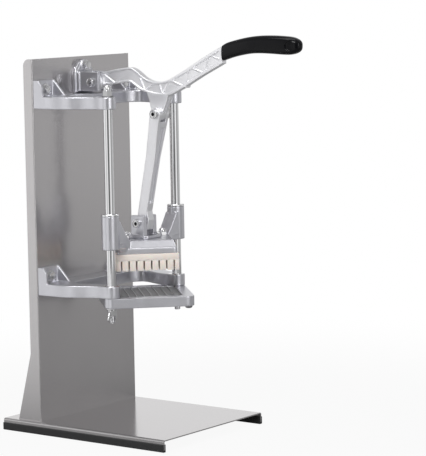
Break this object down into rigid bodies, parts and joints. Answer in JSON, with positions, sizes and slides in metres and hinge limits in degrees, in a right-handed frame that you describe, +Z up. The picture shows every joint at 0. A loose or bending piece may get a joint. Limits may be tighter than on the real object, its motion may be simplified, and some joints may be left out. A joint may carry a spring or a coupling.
{
  "type": "french fry cutter",
  "caption": "Upright lever press for cutting a potato into fries, on its own sheet-metal stand: two guide rods, a grid of blades, a slotted pusher and a ribbed lever.",
  "frame": {"origin": "centre of the bounding box's underside, on the table", "axes": "+X to the right of someone facing the machine, -Y out of its front, +Z up from the table"},
  "size_m": [0.2086, 0.4021, 0.5058],
  "materials": {
    "stainless": "brushed upright",
    "rubber": "matt black",
    "cast_aluminium": "satin casting",
    "chrome": "polished",
    "zinc": "bright zinc plate",
    "bush_steel": "turned",
    "blade_steel": "ground",
    "grip_plastic": "gloss black",
    "cream_plastic": "moulded cream"
  },
  "bodies": {
    "stand": {"base_plate": "stainless", "rubber_strip_left": "rubber", "rubber_strip_right": "rubber", "back_panel": "stainless", "panel_screws": "zinc", "panel_screw_nuts": "zinc", "upper_bracket": "cast_aluminium", "lower_bracket": "cast_aluminium", "upper_bracket_bolts": "zinc", "lower_bracket_bolts": "zinc", "bracket_washers": "zinc", "bracket_nuts": "zinc", "hinge_bracket": "cast_aluminium", "hinge_bracket_bolts": "zinc", "hinge_bracket_washer": "zinc", "hinge_bracket_nuts": "zinc", "pivot_bolt": "zinc", "pivot_nut": "zinc", "guide_rod_left": "chrome", "guide_rod_right": "chrome", "rod_washers": "chrome", "rod_cap_nuts": "chrome", "blade_frame": "cast_aluminium", "blades_lengthwise": "blade_steel", "blades_crosswise": "blade_steel", "blade_frame_washers": "zinc", "blade_frame_screws": "zinc"},
    "wing_nut_left": {"wing_nut_left": "zinc"},
    "wing_nut_right": {"wing_nut_right": "zinc"},
    "lever": {"lever": "cast_aluminium", "grip": "grip_plastic", "lug_bolt": "zinc", "lug_nut": "zinc"},
    "link": {"link": "cast_aluminium"},
    "carriage": {"carriage": "cast_aluminium", "guide_bush_left": "bush_steel", "guide_bush_right": "bush_steel", "clevis": "cast_aluminium", "clevis_screws": "zinc", "clevis_bolt": "zinc", "clevis_nut": "zinc", "pusher_block": "cream_plastic", "pusher_studs": "zinc", "pusher_cap_nuts": "zinc"}
  },
  "joints": [
    {"name": "lever_swing", "type": "hinge", "parent": "stand", "child": "lever", "pos_m": [0, 0.11475, 0.445], "axis": [1, 0, 0], "range_deg": [-15, 25]},
    {"name": "link_swing", "type": "hinge", "parent": "lever", "child": "link", "pos_m": [0, 0.01675, 0.4066], "axis": [1, 0, 0], "range_deg": [-34, 21]},
    {"name": "carriage_slide", "type": "slide", "parent": "stand", "child": "carriage", "axis": [0, 0, -1], "range_m": [-0.0265, 0.044]},
    {"name": "wing_nut_left_turn", "type": "hinge", "parent": "stand", "child": "wing_nut_left", "pos_m": [-0.067, 0.04575, 0.158], "axis": [0, 0, 1], "continuous": true},
    {"name": "wing_nut_right_turn", "type": "hinge", "parent": "stand", "child": "wing_nut_right", "pos_m": [0.067, 0.04575, 0.158], "axis": [0, 0, 1], "continuous": true}
  ],
  "couplings": [
    {"joint": "link_swing", "follows": "lever_swing", "ratio": -1.33},
    {"joint": "carriage_slide", "follows": "lever_swing", "m_per_rad": 0.10035}
  ]
}
